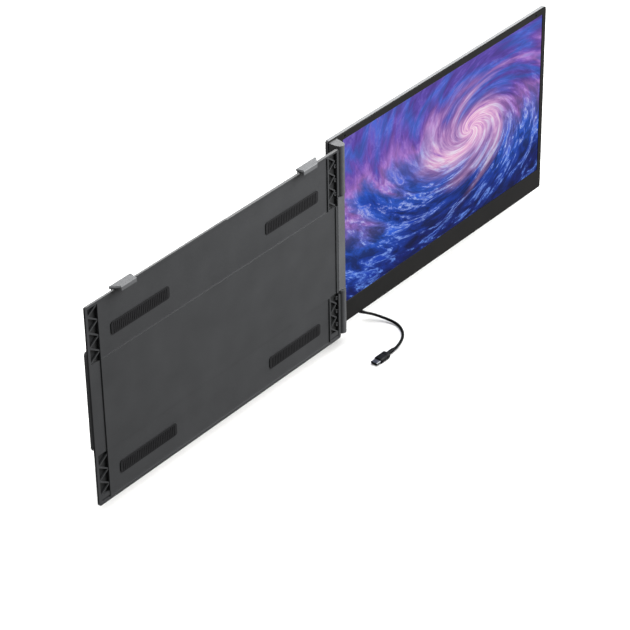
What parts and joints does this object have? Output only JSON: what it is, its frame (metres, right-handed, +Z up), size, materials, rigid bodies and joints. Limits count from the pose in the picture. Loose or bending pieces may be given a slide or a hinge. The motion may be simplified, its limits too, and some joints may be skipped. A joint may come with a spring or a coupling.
{
  "type": "laptop screen extender",
  "caption": "Clip-on frame for a laptop lid with a fold-out stand behind and a second flat screen on a friction hinge at its right side, with a short captive lead.",
  "frame": {"origin": "the middle of the frame's front face, where the laptop's lid rests", "axes": "+X to the right as the user sees it, +Y backwards away from the user, +Z up along the frame"},
  "size_m": [0.7393, 0.0735, 0.2439],
  "materials": {
    "grey_tray": "satin metallic space grey",
    "grey_cover": "satin metallic space grey",
    "grey_metal": "bead-blasted and anodised space grey",
    "stand_metal": "bead-blasted and anodised dark grey",
    "shell_metal": "satin silver",
    "steel": "plain",
    "spring_steel": "bright",
    "screw_black": "black oxide",
    "bronze": "plain",
    "silicone": "soft matte",
    "rubber_black": "soft matte",
    "acetal": "matte",
    "bezel_black": "fine matte",
    "panel_glass": "anti-glare, lit picture",
    "light_guide": "milky",
    "board": "solder mask",
    "lead_black": "braided",
    "plug_black": "satin",
    "plug_steel": "nickel plated"
  },
  "bodies": {
    "frame": {"frame_tray": "grey_tray", "back_cover": "grey_cover", "cover_screws": "screw_black", "rest_pads": "silicone", "clip_guides": "acetal", "spring_posts": "steel", "hinge_leaf": "steel", "leaf_screws": "screw_black", "hinge_knuckle": "grey_metal", "knuckle_screws": "screw_black", "hinge_pins": "steel", "hinge_washers": "steel", "stand_brackets": "grey_metal", "stand_pins": "steel"},
    "clip_l": {"clip_left": "grey_metal", "clip_pad_left": "silicone", "clip_spring_left": "spring_steel"},
    "clip_r": {"clip_right": "grey_metal", "clip_pad_right": "silicone", "clip_spring_right": "spring_steel"},
    "stand": {"stand_plate": "stand_metal", "stand_foot": "rubber_black"},
    "screen": {"column_upper": "grey_metal", "column_lower": "grey_metal", "column_caps": "grey_metal", "column_screws": "screw_black", "hinge_sleeves": "bronze", "screen_shell": "shell_metal", "screen_bezel": "bezel_black", "screen_bumpers": "rubber_black", "display_panel": "panel_glass", "backlight": "light_guide", "driver_board": "board", "shell_screws": "screw_black", "lead_exit": "rubber_black", "lead": "lead_black", "plug_relief": "plug_black", "plug_body": "plug_black", "plug_tongue": "plug_steel"}
  },
  "joints": [
    {"name": "screen_swivel", "type": "hinge", "parent": "frame", "child": "screen", "pos_m": [0.1888, 0.0038, 0], "axis": [0, 0, 1], "range_deg": [-175, 30]},
    {"name": "stand_swing", "type": "hinge", "parent": "frame", "child": "stand", "pos_m": [0, 0.0106, -0.0525], "axis": [-1, 0, 0], "range_deg": [0, 135]},
    {"name": "left_clip_slide", "type": "slide", "parent": "frame", "child": "clip_l", "axis": [0, 0, 1], "range_m": [0, 0.025], "stiffness_N_per_m": 120, "springref_m": -0.02, "deforming": ["clip_spring_left"]},
    {"name": "right_clip_slide", "type": "slide", "parent": "frame", "child": "clip_r", "axis": [0, 0, 1], "range_m": [0, 0.025], "stiffness_N_per_m": 120, "springref_m": -0.02, "deforming": ["clip_spring_right"]}
  ]
}
